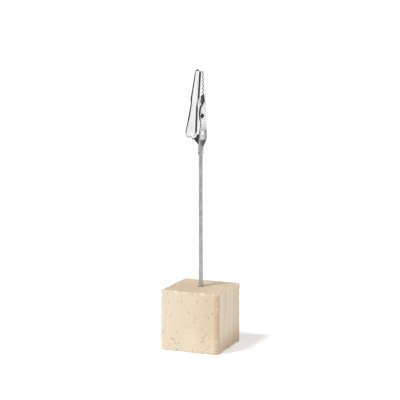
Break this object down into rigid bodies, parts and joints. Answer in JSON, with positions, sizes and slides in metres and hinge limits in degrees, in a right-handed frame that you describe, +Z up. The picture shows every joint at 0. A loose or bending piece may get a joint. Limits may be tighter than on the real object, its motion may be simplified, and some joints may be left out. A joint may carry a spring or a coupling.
{
  "type": "wooden clip stand",
  "caption": "Desk stand with a plain wooden cube as its foot, an upright thin steel rod and a sprung toothed clip on top that holds a card or note.",
  "frame": {"origin": "centre of the cube's underside, on the surface it stands on", "axes": "+Z up along the rod, -Y out of the cube's front face, +X to the right seen from the front"},
  "size_m": [0.025, 0.025, 0.1144],
  "materials": {
    "block_wood": "sanded pale softwood, unvarnished",
    "rod_steel": "satin drawn steel",
    "clip_sheet": "bright nickel plate on stamped steel",
    "clip_rivets": "bright nickel plate",
    "spring_wire": "drawn spring steel"
  },
  "bodies": {
    "stand": {"wood_block": "block_wood", "rod": "rod_steel", "fixed_jaw": "clip_sheet", "pivot_rivet": "clip_rivets", "rod_rivet": "clip_rivets", "jaw_spring": "spring_wire"},
    "lever": {"lever_jaw": "clip_sheet"}
  },
  "joints": [
    {"name": "jaw_hinge", "type": "hinge", "parent": "stand", "child": "lever", "pos_m": [-0.0007, -0.00132, 0.0955], "axis": [0.8829, -0.4695, 0], "range_deg": [0, 14], "stiffness_Nm_per_rad": 0.1, "springref_deg": -34.38, "deforming": ["jaw_spring"]}
  ]
}
